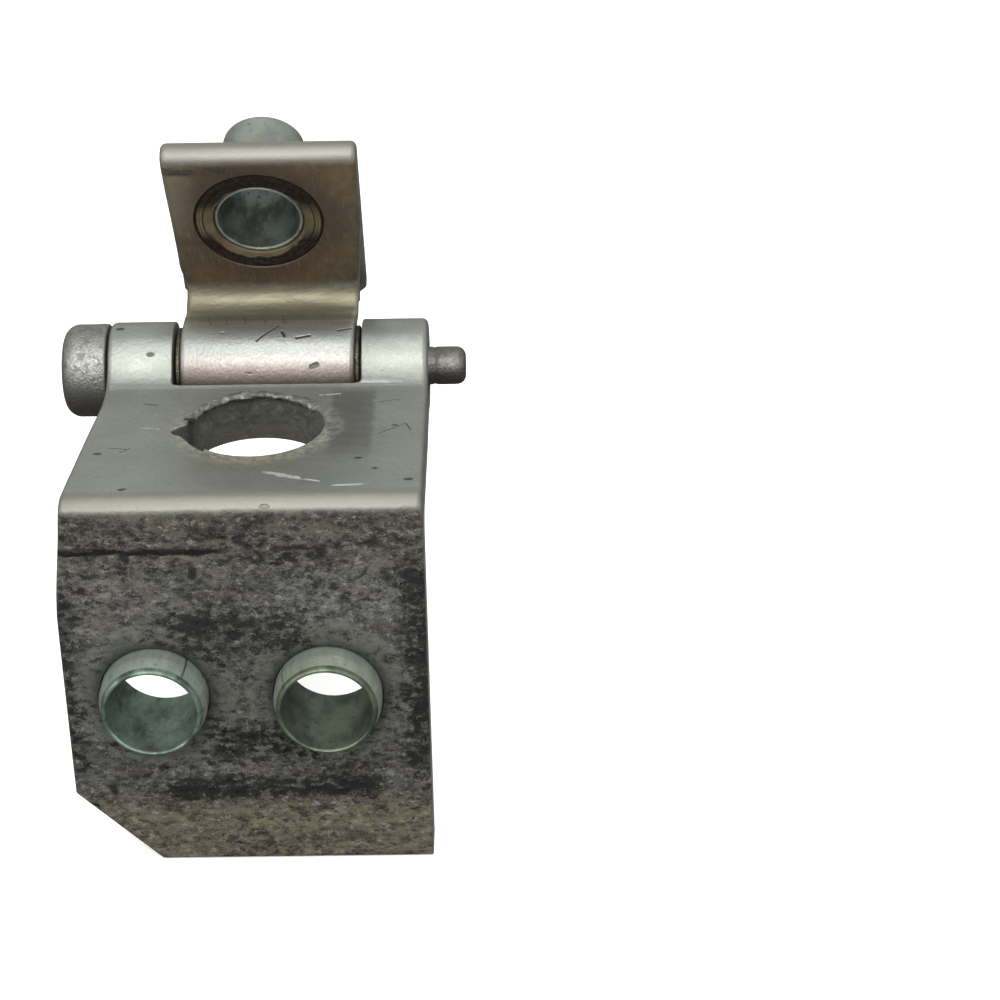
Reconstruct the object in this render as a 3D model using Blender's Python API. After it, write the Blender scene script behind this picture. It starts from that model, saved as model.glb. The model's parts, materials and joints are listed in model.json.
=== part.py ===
"""Door hinge made of folded steel strip.

The bracket is one strip doubled back on itself and rolled round the pin. The leaf is a second strip,
rolled round the middle of the pin and folded over at its top. Metres, Z up, X along the pin. The origin
is on the bolting face, halfway between the two locating sleeves.
"""

import math

import bmesh
import bpy
from mathutils import Matrix, Vector

# ---------------------------------------------------------------- sizes in millimetres
STRIP = 3.8  # thickness of one layer of the bracket's strip
SEAM = 0.3  # open seam between two folded layers
EDGE = 0.9  # rounding on the long edges of the strip
FIT = 0.15  # clearance drawn between two fitted pieces
PLY = 2 * STRIP + SEAM  # thickness of the doubled strip
LEAF_STRIP = 2.3  # the leaf is of thinner strip
LEAF_SEAM = 0.2
LEAF_PLY = 2 * LEAF_STRIP + LEAF_SEAM

PIN_Y, PIN_Z = 46.4, 31.4  # axis of the pin
PIN_R = 3.0
BUSH_WALL, BUSH_LONG = 0.4, 8.0  # wall of the bush in the bracket's end
BUSH_FLANGE_R, BUSH_FLANGE = 6.5, 0.55
SEAT_R = PIN_R + FIT + BUSH_WALL  # knurled seat that holds the pin in the bracket
BORE_R = SEAT_R + FIT  # inside of the rolled knuckles
KNUCKLE_R = BORE_R + STRIP
ROLL_FILLET = 6.0  # hollow where the roll runs into the flat
GAP = 1.05  # space between two knuckles

CENTRE_LEFT, CENTRE_RIGHT = -11.0, 16.2  # knuckle of the leaf
LEAF_BORE_R = KNUCKLE_R - LEAF_STRIP
LEAF_BUSH_WALL = LEAF_BORE_R - PIN_R - 2 * FIT
OUTER_LEFT = -22.25  # far end of the left knuckle
OUTER_RIGHT = 27.55  # far end of the right knuckle

HEAD_R, HEAD_LONG, HEAD_ROUND = 7.3, 7.1, 2.4
STUB_LONG = 5.85

FLANGE_RISE = 1.2  # top of the bracket's flat above the pin axis
PLATE_LEFT, PLATE_RIGHT = -26.3, 27.6
FLANGE_LEFT = -24.5  # at the front bend
FLARE_FROM = 31.0  # where the left edge of the flat starts to widen
PLATE_BOTTOM = -29.8
CORNER_CUT = 12.4  # cut-off lower left corner
BEND_OUT, BEND_IN = 3.0, 2.5
SLOT_FRONT, SLOT_ROUND = 37.1, 1.2
FLANGE_HOLE_X, FLANGE_HOLE_Y, FLANGE_HOLE_R = 2.0, 24.4, 10.35

SLEEVE_PITCH = 25.7
SLEEVE_R, SLEEVE_WALL = 8.0, 0.6
SLEEVE_OUT, SLEEVE_IN = 5.1, 11.2  # length in front of the face and behind it
SLEEVE_TAPER, SLEEVE_RIM_R = 3.0, 7.2
SLEEVE_SLIT = 0.4
SLEEVE_SLIT_ANGLE = {"sleeve_left": 50.0, "sleeve_right": 145.0}

LEAF_LEAN = 23.2  # degrees past square, towards the bolting face
LEAF_FOOT = 9.0  # where the leaf's face would meet the top of the knuckle, behind the pin
LEAF_BEND = 3.0
LEAF_HOLE_UP = 17.8  # hole centre above that foot, along the leaf
LEAF_TOP_UP = 31.6
LEAF_BACK_UP = -1.5  # lower end of the folded-down layer, below the foot
LEAF_LEFT_TOP, LEAF_LEFT_LOW, LEAF_RIGHT = -12.1, -11.5, 17.6
LEAF_HOLE_X, LEAF_HOLE_R = 1.9, 10.0
COLLAR_BORE_R = 7.0
TUBE_R = COLLAR_BORE_R - FIT
TUBE_WALL, TUBE_LONG, TUBE_END_R = 0.55, 17.0, 6.5

ROUND_STEPS = 64  # sides of a large circle

# ---------------------------------------------------------------- materials
FINISHES = {
    "grey_paint": ((0.30, 0.32, 0.30, 1), 0.6, 0.42),
    "bare_steel": ((0.20, 0.18, 0.17, 1), 1.0, 0.45),
    "zinc": ((0.42, 0.48, 0.42, 1), 1.0, 0.35),
    "bronze": ((0.30, 0.22, 0.12, 1), 1.0, 0.40),
}


def finish(name):
    """One material per finish, made the first time it is asked for."""
    if name in bpy.data.materials:
        return bpy.data.materials[name]
    colour, metallic, roughness = FINISHES[name]
    material = bpy.data.materials.new(name)
    material.use_nodes = True
    shader = material.node_tree.nodes["Principled BSDF"]
    shader.inputs["Base Color"].default_value = colour
    shader.inputs["Metallic"].default_value = metallic
    shader.inputs["Roughness"].default_value = roughness
    return material


# ---------------------------------------------------------------- scene and objects
for old in list(bpy.data.objects):
    bpy.data.objects.remove(old)

HINGE = bpy.data.collections.new("door_hinge")
CUTTERS = bpy.data.collections.new("cutters")
for collection in (HINGE, CUTTERS):
    bpy.context.scene.collection.children.link(collection)
CUTTERS.hide_render = True

PIN_AXIS = Vector((0, PIN_Y, PIN_Z))


def empty(name, place):
    """An empty at the given place in millimetres, that pieces are parented to."""
    obj = bpy.data.objects.new(name, None)
    obj.location = place * 0.001
    HINGE.objects.link(obj)
    return obj


FIXED = empty("bracket_side", Vector((0, 0, 0)))
MOVING = empty("leaf_side", PIN_AXIS)


def add(name, mesh_builder, side, material):
    """Makes an object of the built mesh, whose points are in millimetres from the origin of its side."""
    mesh = bpy.data.meshes.new(name)
    bmesh.ops.recalc_face_normals(mesh_builder, faces=mesh_builder.faces)
    bmesh.ops.scale(mesh_builder, vec=(0.001,) * 3, verts=mesh_builder.verts)
    mesh_builder.to_mesh(mesh)
    mesh_builder.free()
    obj = bpy.data.objects.new(name, mesh)
    if side is None:
        CUTTERS.objects.link(obj)
        obj.hide_render = True
        obj.display_type = "WIRE"
    else:
        HINGE.objects.link(obj)
        obj.parent = side
        mesh.materials.append(finish(material))
    return obj


def cut(obj, *tools):
    """Takes each tool away from the object."""
    for tool in tools:
        if obj.parent is not None:
            tool.parent = obj.parent
        step = obj.modifiers.new("cut_" + tool.name, "BOOLEAN")
        step.object = tool
        step.operation = "DIFFERENCE"
        step.solver = "EXACT"


# ---------------------------------------------------------------- outlines
def arc(centre, radius, start, end, steps):
    """Points along an arc in the YZ plane. At 0 degrees it points away from the bolting face, at 90 up."""
    turn = [math.radians(start + (end - start) * i / steps) for i in range(steps + 1)]
    return [(centre[0] + radius * math.cos(a), centre[1] + radius * math.sin(a)) for a in turn]


def line(start, end, pieces):
    """Points along a straight line, without its two ends."""
    return [
        tuple(a + (b - a) * i / pieces for a, b in zip(start, end)) for i in range(1, pieces)
    ]


def ease(value, start, end, at_start, at_end):
    """Runs smoothly from one number to another while value goes from start to end."""
    t = min(1.0, max(0.0, (value - start) / (end - start)))
    return at_start + (at_end - at_start) * t * t * (3 - 2 * t)


def strip_solid(section, left, right):
    """A body lofted along X from a YZ outline, with the long edges rounded.

    section(inset) gives the outline with its outer surface moved in by that much. left and right give the
    two ends in X for a point of it, so that the strip's plan can curve.
    """
    builder = bmesh.new()
    turns = [math.radians(a) for a in (0, 22.5, 45, 67.5, 90)]
    stations = [(left, EDGE * (1 - math.cos(a)), EDGE * (1 - math.sin(a))) for a in turns]
    stations += [(right, -EDGE * (1 - math.cos(a)), EDGE * (1 - math.sin(a))) for a in reversed(turns)]
    loops = []
    for side, shift, inset in stations:
        plain, inner = section(0.0), section(inset)
        loops.append(
            [
                builder.verts.new((side(*at) + shift, y, z))
                for at, (y, z) in zip(plain, inner)
            ]
        )
    count = len(loops[0])
    for near, far in zip(loops, loops[1:]):
        for i in range(count):
            j = (i + 1) % count
            builder.faces.new((near[i], near[j], far[j], far[i]))
    # The ends aren't flat, so each is filled while its points lie in one plane, and then put back.
    for loop in (loops[0], loops[-1]):
        places = [v.co.x for v in loop]
        for v in loop:
            v.co.x = places[0]
        cap = builder.faces.new(loop)
        cap.normal_update()
        bmesh.ops.triangulate(builder, faces=[cap])
        for v, x in zip(loop, places):
            v.co.x = x
    return builder


# ---------------------------------------------------------------- bracket
def bracket_section(inset):
    """The doubled strip from the side: up the plate, back along the flat, round the pin and back again."""
    top, under = PIN_Z + FLANGE_RISE, PIN_Z + FLANGE_RISE - PLY
    reach = KNUCKLE_R + ROLL_FILLET
    front_turn = math.asin((FLANGE_RISE + ROLL_FILLET) / reach)
    under_turn = math.acos((PIN_Z - under + ROLL_FILLET) / reach)
    over = (PIN_Y - reach * math.cos(front_turn), top + ROLL_FILLET)
    below = (PIN_Y - reach * math.sin(under_turn), under - ROLL_FILLET)
    front_deg, under_deg = math.degrees(front_turn), math.degrees(under_turn)
    pin = (PIN_Y, PIN_Z)
    hollow = ROLL_FILLET + inset
    deep = ROLL_FILLET + STRIP
    tip = EDGE + 0.1
    low = PLATE_BOTTOM
    bend_top, cut_top = top - BEND_OUT, low + CORNER_CUT

    def climb(y):
        """Points up one face of the plate, closer together where its side edge curves."""
        return (
            line((y, low + tip), (y, cut_top - 3), 6)
            + [(y, cut_top - 3)]
            + line((y, cut_top - 3), (y, cut_top + 3), 6)
            + [(y, cut_top + 3)]
            + line((y, cut_top + 3), (y, 20.5), 4)
            + [(y, 20.5)]
            + line((y, 20.5), (y, bend_top), 7)
        )

    def along(z, start, end):
        """Points along the flat, closer together where its side edge curves."""
        return line((start, z), (21, z), 2) + [(21, z)] + line((21, z), (end, z), 9)

    path = arc((tip, low + tip), tip - inset, 270, 180, 3)
    path += climb(inset)
    path += arc((BEND_OUT, bend_top), BEND_OUT - inset, 180, 90, 8)
    path += along(top - inset, BEND_OUT, over[0])
    path += arc(over, hollow, 270, 360 - front_deg, 7)
    path += arc(pin, KNUCKLE_R - inset, 180 - front_deg, -90 - under_deg, 34)[1:]
    path += arc(below, hollow, 90 - under_deg, 90, 4)[1:]
    path += reversed(along(under + inset, PLY + BEND_IN, below[0]))
    path += arc((PLY + BEND_IN, under - BEND_IN), BEND_IN + inset, 90, 180, 6)
    path += reversed(climb(PLY - inset))
    path += arc((PLY - tip, low + tip), tip - inset, 0, -90, 3)
    # back up inside the seam
    inner_top = top - STRIP - SEAM
    path.append((STRIP + SEAM, low + inset))
    path += climb(STRIP + SEAM)
    path.append((STRIP + SEAM, inner_top))
    path += along(inner_top, STRIP + SEAM, below[0])
    path += arc(below, deep, 90, 90 - under_deg, 3)
    path += arc(pin, BORE_R, -90 - under_deg, 180 - front_deg, 28)[1:]
    path += arc(over, deep, 360 - front_deg, 270, 5)[1:]
    path += reversed(along(top - STRIP, STRIP, over[0]))
    path.append((STRIP, top - STRIP))
    path += reversed(climb(STRIP))
    path.append((STRIP, low + inset))
    return path


def bracket_left(y, z):
    """Left edge of the bracket: narrow at the knuckle, wider along the flat, widest on the plate."""
    taper = min(1.0, max(0.0, 1 - y / FLARE_FROM)) ** 0.8
    flat = OUTER_LEFT + (FLANGE_LEFT - OUTER_LEFT) * taper
    plate = ease(z, 12.0, PIN_Z + 1.6, PLATE_LEFT, FLANGE_LEFT) - FLANGE_LEFT
    past = PLATE_BOTTOM + CORNER_CUT - z
    corner = 0.5 * (past + math.sqrt(past * past + 1.2)) if z < 0 else 0.0
    return flat + ease(y, PLY, PLY + 3.5, plate + corner, 0.0)


def bracket_right(y, z):
    return ease(y, 30.0, 37.0, PLATE_RIGHT, OUTER_RIGHT)


def round_bar(name, radius, length, place, direction, steps=ROUND_STEPS):
    """A round cutter, centred at place."""
    builder = bmesh.new()
    bmesh.ops.create_cone(
        builder, cap_ends=True, segments=steps, radius1=radius, radius2=radius, depth=length
    )
    turn = Vector((0, 0, 1)).rotation_difference(direction).to_matrix().to_4x4()
    bmesh.ops.transform(builder, matrix=Matrix.Translation(place) @ turn, verts=builder.verts)
    return add(name, builder, None, None)


def slot_cutter():
    """Room for the leaf's knuckle, open at the back, with rounded corners at the front."""
    builder = bmesh.new()
    x0, x1 = CENTRE_LEFT - GAP, CENTRE_RIGHT + GAP
    r, back = SLOT_ROUND, PIN_Y + KNUCKLE_R + 5
    plan = [(x1, back), (x0, back)]
    for cx, start in ((x0 + r, 180), (x1 - r, 270)):
        for i in range(5):
            a = math.radians(start + 22.5 * i)
            plan.append((cx + r * math.cos(a), SLOT_FRONT + r + r * math.sin(a)))
    face = builder.faces.new([builder.verts.new((x, y, PIN_Z - 15)) for x, y in plan])
    made = bmesh.ops.extrude_face_region(builder, geom=[face])["geom"]
    bmesh.ops.translate(
        builder, vec=(0, 0, 30), verts=[v for v in made if isinstance(v, bmesh.types.BMVert)]
    )
    return add("slot_tool", builder, None, None)


bracket = add("bracket", strip_solid(bracket_section, bracket_left, bracket_right), FIXED, "grey_paint")
cut(
    bracket,
    slot_cutter(),
    round_bar(
        "flange_hole_tool", FLANGE_HOLE_R, 30,
        Vector((FLANGE_HOLE_X, FLANGE_HOLE_Y, PIN_Z)), Vector((0, 0, 1)),
    ),
    *[
        round_bar(
            f"sleeve_hole_tool_{side}", SLEEVE_R + FIT, 30,
            Vector((side * SLEEVE_PITCH / 2, 0, 0)), Vector((0, 1, 0)),
        )
        for side in (-1, 1)
    ],
)


# ---------------------------------------------------------------- leaf, in millimetres from the pin axis
LEAN = math.radians(90 + LEAF_LEAN)
LEAF_UP = Vector((math.cos(LEAN), math.sin(LEAN)))  # up the leaf, as (y, z)
LEAF_BACK = Vector((math.sin(LEAN), -math.cos(LEAN)))  # out of its back
FOOT = Vector((LEAF_FOOT, KNUCKLE_R))


def on_leaf(up, back):
    """The point that far up the leaf from its foot, and that far behind its face."""
    return tuple(FOOT + LEAF_UP * up + LEAF_BACK * back)


def leaf_height(y, z):
    return (Vector((y, z)) - FOOT).dot(LEAF_UP)


def leaf_section(inset):
    """The strip from its end under the neck, round the pin, up the face and down the back."""
    pin = (0.0, 0.0)
    tangent = LEAF_BEND * math.tan(LEAN / 2)
    bend = (LEAF_FOOT - tangent, KNUCKLE_R + LEAF_BEND)
    lean_deg = math.degrees(LEAN)
    fold_r = LEAF_PLY / 2
    fold = on_leaf(LEAF_TOP_UP - fold_r, fold_r)
    tip = EDGE + 0.1
    end = 25.0
    marks = (tangent, 5.2, 6.0, 7.0, 8.0, 9.2, 13.0, 20.0, 26.0, LEAF_TOP_UP - fold_r)
    low_marks = (LEAF_BACK_UP + tip, LEAF_BACK_UP + 1.4, LEAF_BACK_UP + 2.2, LEAF_BACK_UP + 3.2) + marks[1:]
    path = arc(pin, KNUCKLE_R - inset, end, -270, 40)
    path += line((0.0, KNUCKLE_R - inset), (bend[0], KNUCKLE_R - inset), 3)
    path += arc(bend, LEAF_BEND + inset, -90, lean_deg - 90, 10)
    path += [on_leaf(up, inset) for up in marks[1:-1]]
    path += arc(fold, fold_r - inset, lean_deg + 90, lean_deg - 90, 16)
    path += [on_leaf(up, LEAF_PLY - inset) for up in reversed(low_marks[:-1])]
    corner = on_leaf(LEAF_BACK_UP + tip, LEAF_PLY - tip)
    path += arc(corner, tip - inset, lean_deg - 90, lean_deg - 180, 3)[1:]
    path.append(on_leaf(LEAF_BACK_UP + inset, LEAF_STRIP + LEAF_SEAM))
    path += [on_leaf(up, LEAF_STRIP + LEAF_SEAM) for up in low_marks]
    path += [on_leaf(up, LEAF_STRIP) for up in reversed(marks[1:])]
    path += arc(bend, LEAF_BEND + LEAF_STRIP, lean_deg - 90, -90, 8)
    path += arc(pin, LEAF_BORE_R, 90, 360 + end, 30)
    return path


def leaf_left(y, z):
    up = leaf_height(y, z)
    if z < KNUCKLE_R + 0.01 and y < LEAF_FOOT:
        return CENTRE_LEFT
    behind = (Vector((y, z)) - FOOT).dot(LEAF_BACK) > LEAF_STRIP + LEAF_SEAM / 2
    if behind:
        corner = ease(up, LEAF_BACK_UP, LEAF_BACK_UP + 2.2, 1.6, 0.0)
        return corner + ease(up, 8.0, LEAF_TOP_UP, LEAF_LEFT_LOW, LEAF_LEFT_TOP)
    neck = CENTRE_LEFT + ease(up, -2.0, 2.5, 0.0, 0.2)
    taper = ease(up, 8.0, LEAF_TOP_UP, 0.0, LEAF_LEFT_TOP - LEAF_LEFT_LOW)
    return ease(up, 3.0, 8.0, neck, LEAF_LEFT_LOW) + taper


def leaf_right(y, z):
    up = leaf_height(y, z)
    if z < KNUCKLE_R + 0.01 and y < LEAF_FOOT:
        return CENTRE_RIGHT
    behind = (Vector((y, z)) - FOOT).dot(LEAF_BACK) > LEAF_STRIP + LEAF_SEAM / 2
    if behind:
        corner = ease(up, LEAF_BACK_UP, LEAF_BACK_UP + 2.2, 1.6, 0.0)
        return LEAF_RIGHT - corner
    return ease(up, 1.0, 20.0, CENTRE_RIGHT + 0.4, LEAF_RIGHT)


def leaf_frame(up, back):
    """Place and turn of a piece that sits square in the leaf: its Z out of the leaf's back."""
    y, z = on_leaf(up, back)
    turn = Vector((0, 0, 1)).rotation_difference(Vector((0, *LEAF_BACK)))
    return Vector((LEAF_HOLE_X, y, z)), turn


leaf = add("leaf", strip_solid(leaf_section, leaf_left, leaf_right), MOVING, "grey_paint")
hole_at, _ = leaf_frame(LEAF_HOLE_UP, LEAF_PLY / 2)
cut(leaf, round_bar("leaf_hole_tool", LEAF_HOLE_R, 30, hole_at, Vector((0, *LEAF_BACK))))


# ---------------------------------------------------------------- turned pieces
def turned(name, outline, place, turn, side, material, steps=ROUND_STEPS, rotate_by=0.0):
    """A body turned about its own Z from (radius, height) points, closed unless it starts on the axis."""
    builder = bmesh.new()
    solid = outline[0][0] == 0
    rings = []
    for radius, height in outline:
        if radius == 0:
            rings.append([builder.verts.new((0, 0, height))])
            continue
        angles = [2 * math.pi * i / steps + rotate_by for i in range(steps)]
        places = [(radius * math.cos(a), radius * math.sin(a), height) for a in angles]
        rings.append([builder.verts.new(at) for at in places])
    pairs = list(zip(rings, rings[1:])) + ([] if solid else [(rings[-1], rings[0])])
    for near, far in pairs:
        for i in range(steps):
            j = (i + 1) % steps
            pairs_round = (near[i % len(near)], near[j % len(near)], far[j % len(far)], far[i % len(far)])
            builder.faces.new(list(dict.fromkeys(pairs_round)))
    obj = add(name, builder, side, material)
    obj.location = place * 0.001
    obj.rotation_mode = "QUATERNION"
    obj.rotation_quaternion = turn
    return obj


ALONG_PIN = Vector((0, 0, 1)).rotation_difference(Vector((1, 0, 0)))
OUT_OF_FACE = Vector((0, 0, 1)).rotation_difference(Vector((0, -1, 0)))


def pin_outline():
    """Heights run along X: head, seat, shank and a rounded stub. The head's end is slightly domed."""
    head_end = OUTER_LEFT - 2 * FIT
    far = head_end - HEAD_LONG
    stub_end = OUTER_RIGHT + STUB_LONG
    outline = [(0, far)]
    outline += [(2.4, far + 0.04), (HEAD_R - HEAD_ROUND, far + 0.2)]
    for i in range(1, 7):
        a = math.radians(15 * i)
        outline.append(
            (
                HEAD_R - HEAD_ROUND * (1 - math.sin(a)),
                far + 0.2 + (HEAD_ROUND - 0.2) * (1 - math.cos(a)),
            )
        )
    outline += [(HEAD_R, head_end - 0.4), (HEAD_R - 0.4, head_end), (SEAT_R, head_end)]
    outline += [(SEAT_R, CENTRE_LEFT - GAP - 0.6), (PIN_R, CENTRE_LEFT - GAP)]
    for i in range(5):
        a = math.radians(22.5 * i)
        outline.append((PIN_R - 0.9 * (1 - math.cos(a)), stub_end - 0.9 * (1 - math.sin(a))))
    return outline + [(0, stub_end)]


turned("pin", pin_outline(), PIN_AXIS, ALONG_PIN, FIXED, "bare_steel", steps=48)

BUSH_IN, BUSH_OUT = PIN_R + FIT, PIN_R + FIT + BUSH_WALL
LEAF_BUSH_OUT = BUSH_IN + LEAF_BUSH_WALL
for name, end, inward in (("bush_left", CENTRE_LEFT, 1), ("bush_right", CENTRE_RIGHT, -1)):
    face = end - inward * FIT
    rim = face - inward * BUSH_FLANGE
    outline = [
        (BUSH_IN, rim), (BUSH_FLANGE_R, rim), (BUSH_FLANGE_R, face), (LEAF_BUSH_OUT, face),
        (LEAF_BUSH_OUT, end + inward * BUSH_LONG), (BUSH_IN, end + inward * BUSH_LONG),
    ]  # fmt: skip
    turned(name, outline, Vector((0, 0, 0)), ALONG_PIN, MOVING, "bronze", steps=48)

inner_end, outer_end = CENTRE_RIGHT + GAP + 0.2, OUTER_RIGHT - 0.2
outline = [
    (BUSH_IN, inner_end), (BUSH_OUT, inner_end), (BUSH_OUT, outer_end), (BUSH_IN, outer_end),
]  # fmt: skip
turned("bush_end", outline, PIN_AXIS, ALONG_PIN, FIXED, "bronze", steps=48)

for name, slit_at in SLEEVE_SLIT_ANGLE.items():
    side = -1 if name == "sleeve_left" else 1
    straight = SLEEVE_OUT - SLEEVE_TAPER
    bore, rim_bore = SLEEVE_R - SLEEVE_WALL, SLEEVE_RIM_R - SLEEVE_WALL
    outline = [
        (bore, -SLEEVE_IN), (SLEEVE_R, -SLEEVE_IN), (SLEEVE_R, straight),
        (SLEEVE_RIM_R + 0.35, SLEEVE_OUT - 1.2), (SLEEVE_RIM_R, SLEEVE_OUT - 0.2),
        (SLEEVE_RIM_R - 0.2, SLEEVE_OUT), (rim_bore, SLEEVE_OUT), (bore, straight),
    ]  # fmt: skip
    place = Vector((side * SLEEVE_PITCH / 2, 0, 0))
    sleeve = turned(name, outline, place, OUT_OF_FACE, FIXED, "zinc")
    slit = bmesh.new()
    bmesh.ops.create_cube(slit, size=1)
    bmesh.ops.scale(slit, vec=(SLEEVE_R, SLEEVE_SLIT, 30), verts=slit.verts)
    bmesh.ops.translate(slit, vec=(SLEEVE_R * 0.9, 0, 0), verts=slit.verts)
    # Seen from in front, the angle runs from the right towards the top.
    around = Matrix.Rotation(math.radians(slit_at), 4, "Z")
    bmesh.ops.transform(slit, matrix=OUT_OF_FACE.to_matrix().to_4x4() @ around, verts=slit.verts)
    bmesh.ops.translate(slit, vec=place, verts=slit.verts)
    cut(sleeve, add(f"slit_tool_{side}", slit, None, None))

face_at, square = leaf_frame(LEAF_HOLE_UP, 0.0)
collar_r = LEAF_HOLE_R - FIT
collar = [
    (COLLAR_BORE_R, 0.7), (COLLAR_BORE_R + 0.5, 0.2), (collar_r, 0.2),
    (collar_r, LEAF_PLY), (COLLAR_BORE_R, LEAF_PLY),
]  # fmt: skip
turned("leaf_collar", collar, face_at, square, MOVING, "bare_steel")
tube = [
    (TUBE_R - TUBE_WALL, 0.8), (TUBE_R - 0.2, 0.6), (TUBE_R, 0.8), (TUBE_R, LEAF_PLY + 0.5),
    (TUBE_END_R, LEAF_PLY + 3.5), (TUBE_END_R, TUBE_LONG - 0.3), (TUBE_END_R - 0.2, TUBE_LONG),
    (TUBE_END_R - TUBE_WALL, TUBE_LONG), (TUBE_END_R - TUBE_WALL, LEAF_PLY + 3.5),
    (TUBE_R - TUBE_WALL, LEAF_PLY + 0.5),
]  # fmt: skip
turned("leaf_tube", tube, face_at, square, MOVING, "zinc")
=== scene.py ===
# %% [markdown]
# # A door hinge folded from steel strip
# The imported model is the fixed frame: it says where every piece sits, which body it moves with and where the
# pin runs. Each piece is modelled again here with finer edges and given its finish, then tied to its body.

# %% The frame
import json
import math

import bmesh
import bpy
from mathutils import Matrix, Vector


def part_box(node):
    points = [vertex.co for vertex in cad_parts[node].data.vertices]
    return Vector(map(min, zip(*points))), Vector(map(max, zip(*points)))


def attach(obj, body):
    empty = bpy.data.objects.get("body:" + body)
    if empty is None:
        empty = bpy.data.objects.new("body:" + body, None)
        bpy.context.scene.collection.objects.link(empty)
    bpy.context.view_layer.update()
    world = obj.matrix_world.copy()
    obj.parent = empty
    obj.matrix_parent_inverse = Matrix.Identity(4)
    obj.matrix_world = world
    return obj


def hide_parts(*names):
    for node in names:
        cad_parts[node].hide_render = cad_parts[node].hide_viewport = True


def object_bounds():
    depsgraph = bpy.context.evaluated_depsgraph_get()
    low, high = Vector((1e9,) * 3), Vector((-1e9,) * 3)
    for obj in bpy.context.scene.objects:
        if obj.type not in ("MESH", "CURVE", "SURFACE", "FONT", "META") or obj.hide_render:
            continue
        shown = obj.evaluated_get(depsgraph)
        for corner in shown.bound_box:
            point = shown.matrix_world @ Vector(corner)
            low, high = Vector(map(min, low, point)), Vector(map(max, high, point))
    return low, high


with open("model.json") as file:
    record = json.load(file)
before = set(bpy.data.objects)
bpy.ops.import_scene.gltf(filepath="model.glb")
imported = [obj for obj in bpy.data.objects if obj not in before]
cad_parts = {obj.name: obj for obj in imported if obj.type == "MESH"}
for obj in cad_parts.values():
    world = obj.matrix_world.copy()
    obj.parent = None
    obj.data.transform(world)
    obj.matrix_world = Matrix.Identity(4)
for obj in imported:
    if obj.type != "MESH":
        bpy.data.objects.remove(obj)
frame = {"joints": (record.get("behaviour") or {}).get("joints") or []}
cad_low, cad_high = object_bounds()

MM = 0.001
pin_place = Vector(frame["joints"][0]["pos_m"]) / MM
print("whole hinge in mm:", [round(v / MM, 1) for v in cad_high - cad_low])
print("pin axis in mm:", [round(v, 2) for v in pin_place])

# %% [markdown]
# ## Camera
# The hinge is seen from in front and well above, with a long lens, so that its upright edges stay nearly
# parallel. A quaternion from the viewing direction keeps the camera level. A last turn of one degree about
# that direction is how the hinge was held.

# %% Camera
VIEW_FROM = Vector((40.97, -324.97, 207.08))
VIEW_ALONG = Vector((-0.00615, 0.88046, -0.47409))
LENS = 93.6

bpy.ops.object.camera_add(location=VIEW_FROM * MM)
camera = bpy.context.object
camera.data.lens = LENS
camera.data.sensor_width = 36
camera.data.clip_start = 0.01
camera.rotation_mode = "QUATERNION"
level = VIEW_ALONG.to_track_quat("-Z", "Y")
camera.rotation_quaternion = level @ Matrix.Rotation(math.radians(-1), 3, "Z").to_quaternion()
bpy.context.scene.camera = camera
print("camera tilts down by", round(math.degrees(math.asin(-VIEW_ALONG.z)), 1), "degrees")

# %% [markdown]
# ## Studio
# Rolled metal shows its shape by what it mirrors. One wide softbox, high in front, draws the bright line
# along each roll. A weaker one overhead and three fills lift the rest, in a dim grey room. The floor is plain
# and pale, and mirrors leave it out, because the dark lower faces of the real hinge show no bright floor.

# %% Studio
def to_linear(text):
    """A colour written as sRGB hex, in the linear numbers that Blender works with."""
    parts = [int(text[i:i + 2], 16) / 255 for i in (1, 3, 5)]
    return (*(c / 12.92 if c <= 0.04045 else ((c + 0.055) / 1.055) ** 2.4 for c in parts), 1.0)


def put(tree, kind, inputs=None, **settings):
    """Adds one node, makes its settings, and fills its inputs with values or with other nodes' outputs."""
    made = tree.nodes.new("ShaderNode" + kind)
    for name, value in settings.items():
        setattr(made, name, value)
    for name, value in (inputs or {}).items():
        if isinstance(value, bpy.types.NodeSocket):
            tree.links.new(value, made.inputs[name])
        else:
            made.inputs[name].default_value = value
    return made


def softbox(name, place, aim, wide, deep, watts):
    """A rectangular soft light, in millimetres, that looks at aim."""
    bpy.ops.object.light_add(type="AREA", location=Vector(place) * MM)
    lamp = bpy.context.object
    lamp.name = name
    lamp.data.shape = "RECTANGLE"
    lamp.data.size, lamp.data.size_y = wide * MM, deep * MM
    lamp.data.energy = watts
    lamp.rotation_mode = "QUATERNION"
    lamp.rotation_quaternion = (Vector(aim) - Vector(place)).to_track_quat("-Z", "Y")
    return lamp


bpy.ops.object.select_all(action="DESELECT")
bpy.ops.mesh.primitive_plane_add(size=6, location=(0, 0, cad_low.z - 0.0001))
floor = bpy.context.object
floor.name = "studio_floor"
pale = bpy.data.materials.new("pale_floor")
pale.use_nodes = True
pale_shader = pale.node_tree.nodes["Principled BSDF"]
pale_shader.inputs["Base Color"].default_value = to_linear("#f4f4f2")
pale_shader.inputs["Roughness"].default_value = 0.9
pale_shader.inputs["Specular IOR Level"].default_value = 0.0
pale_shader.inputs["Emission Color"].default_value = (1, 1, 1, 1)
pale_shader.inputs["Emission Strength"].default_value = 0.25
floor.data.materials.append(pale)
floor.visible_glossy = False

softbox("main", (-10, -430, 480), (0, 20, 20), 520, 240, 3.8)
softbox("overhead", (10, -60, 560), (0, 20, 0), 520, 150, 1.3)
softbox("front_fill", (-60, -640, 300), (0, 0, 20), 500, 200, 0.8)
softbox("left_fill", (-520, -200, 260), (0, 0, 10), 300, 300, 1.0)
softbox("right_fill", (560, -120, 200), (0, 0, 10), 260, 260, 0.7)

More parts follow.
